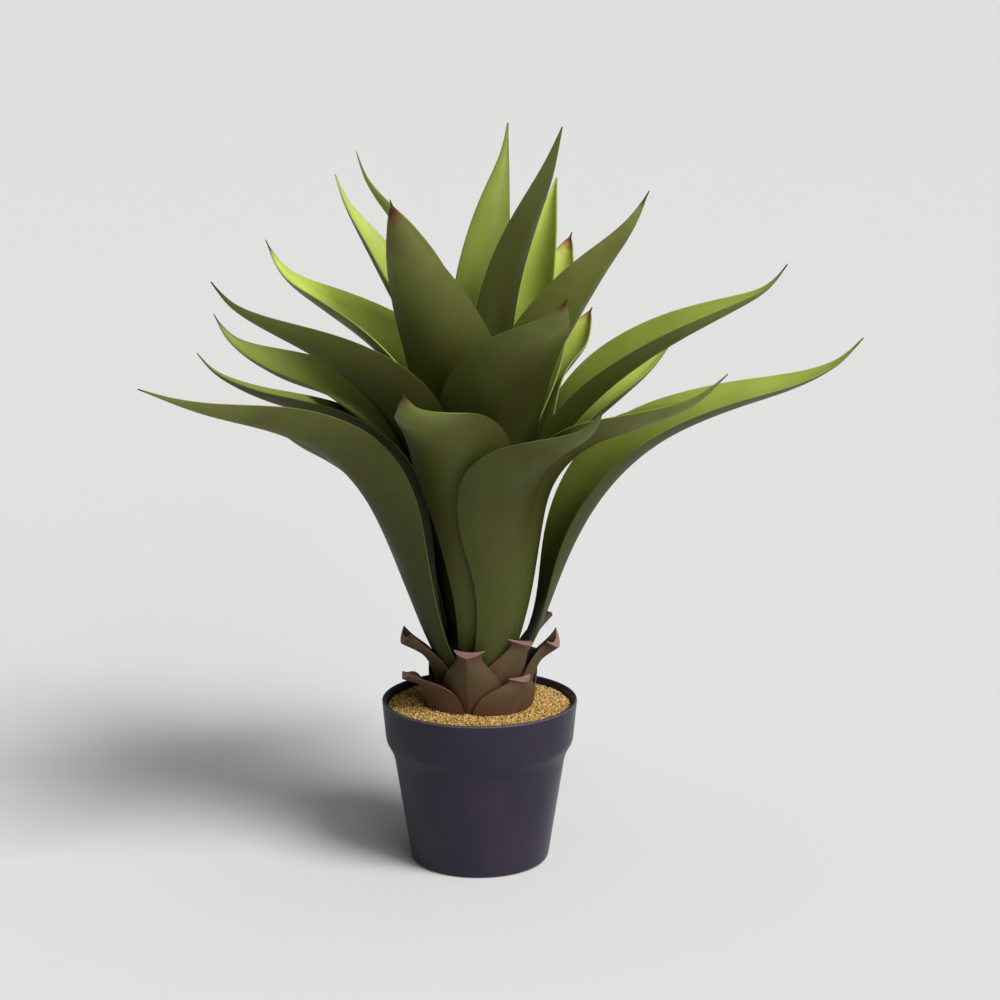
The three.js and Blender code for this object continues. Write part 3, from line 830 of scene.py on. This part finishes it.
# One round grain of unit size, doubled until there are enough, then each sized and dropped in place.
def makeGrains(s, draw, outer):
    bm = bmesh.new()
    tone = bm.verts.layers.float.new("grainTone")
    bmesh.ops.create_icosphere(bm, subdivisions=1, radius=1)
    grainVerts = len(bm.verts)
    for doubling in range(s["doublings"]):
        bmesh.ops.duplicate(bm, geom=bm.verts[:] + bm.edges[:] + bm.faces[:])
    verts = bm.verts[:]
    lastGrain = outer - s["grainRadius"][1]
    for start in range(0, len(verts), grainVerts):
        radius = math.sqrt(draw.uniform(s["firstGrain"] ** 2, lastGrain ** 2))
        angle = draw.uniform(0, math.tau)
        size = draw.uniform(*s["grainRadius"])
        x, y = radius * math.cos(angle), radius * math.sin(angle)
        shade = draw.betavariate(*s["grainShade"])
        squash = draw.uniform(*s["grainSquash"])
        height = sandHeight(s, x, y) + size * draw.uniform(*s["grainLift"])
        for vert in verts[start:start + grainVerts]:
            vert[tone] = shade
            spot = vert.co * size * draw.uniform(*s["grainJitter"])
            vert.co = Vector((spot.x + x, spot.y + y, spot.z * squash + height))
    return bm


stemFinish = {
    "stretch": (1, 1, 0.2),
    "noise": (260, 4),
    "colours": [(0.3, (0.030, 0.020, 0.012)), (0.7, (0.085, 0.055, 0.030))],
    "roughness": 0.85,
    "bump": (0.6, 0.001),
}

soilFinish = {
    "noise": (240, 5, 0.65),
    "colours": [(0.3, (0.018, 0.011, 0.007)), (0.7, (0.070, 0.044, 0.026))],
    "roughness": 0.95,
    "bump": (0.8, 0.002),
}


def paintNode(name, material):
    slots = nodes[name].material_slots
    for place in slots:
        place.material = material
    if not slots:
        nodes[name].data.materials.append(material)


# Floor and light

stageSettings = {
    "floorSize": 1200.0,
    "floorColour": (0.80, 0.81, 0.81),
    "floorRoughness": 0.9,
    "floorSpecular": 0.1,
    "lights": {                             # bearing, height, softness in degrees, then strength
        "keyLight": (-40, 47, 28, 2.72),
        "fillLight": (-60, 15, 40, 1.25),
        "topLight": (0, 78, 60, 0.4),
    },
    "lightColour": (1.0, 0.99, 0.975),
    "skyColour": (0.96, 0.98, 1.0),
    "skyStrength": 0.10,
}


def makeStage(s):
    bm = bmesh.new()
    bmesh.ops.create_grid(bm, x_segments=1, y_segments=1, size=s["floorSize"] / 2)
    mesh = bpy.data.meshes.new("studioFloor")
    bm.to_mesh(mesh)
    bm.free()
    material, tree, shader = startMaterial("paleFloor")
    shader.inputs["Base Color"].default_value = (*s["floorColour"], 1)
    shader.inputs["Roughness"].default_value = s["floorRoughness"]
    shader.inputs["Specular IOR Level"].default_value = s["floorSpecular"]
    mesh.materials.append(material)
    floor = bpy.data.objects.new("studioFloor", mesh)
    scene.collection.objects.link(floor)

    for name, (bearing, height, softness, strength) in s["lights"].items():
        light = bpy.data.lights.new(name, "SUN")
        light.energy = strength
        light.angle = math.radians(softness)
        light.color = s["lightColour"]
        piece = bpy.data.objects.new(name, light)
        piece.rotation_euler = (0, math.radians(90 - height), math.radians(bearing))
        scene.collection.objects.link(piece)

    world = bpy.data.worlds.new("studioSky")
    world.use_nodes = True
    background = world.node_tree.nodes["Background"]
    background.inputs["Color"].default_value = (*s["skyColour"], 1)
    background.inputs["Strength"].default_value = s["skyStrength"]
    scene.world = world
    print("stage made")


makeCamera(cameraSettings)
makeStage(stageSettings)
makePot(potSettings)
makeSand(sandSettings)
makeCutBases(cutBaseSettings)
makeLeaves(leafSettings)
paintNode("stem", makeNoiseMaterial("stemBark", stemFinish))
paintNode("soil", makeNoiseMaterial("pottingSoil", soilFinish))

print("all pieces made")
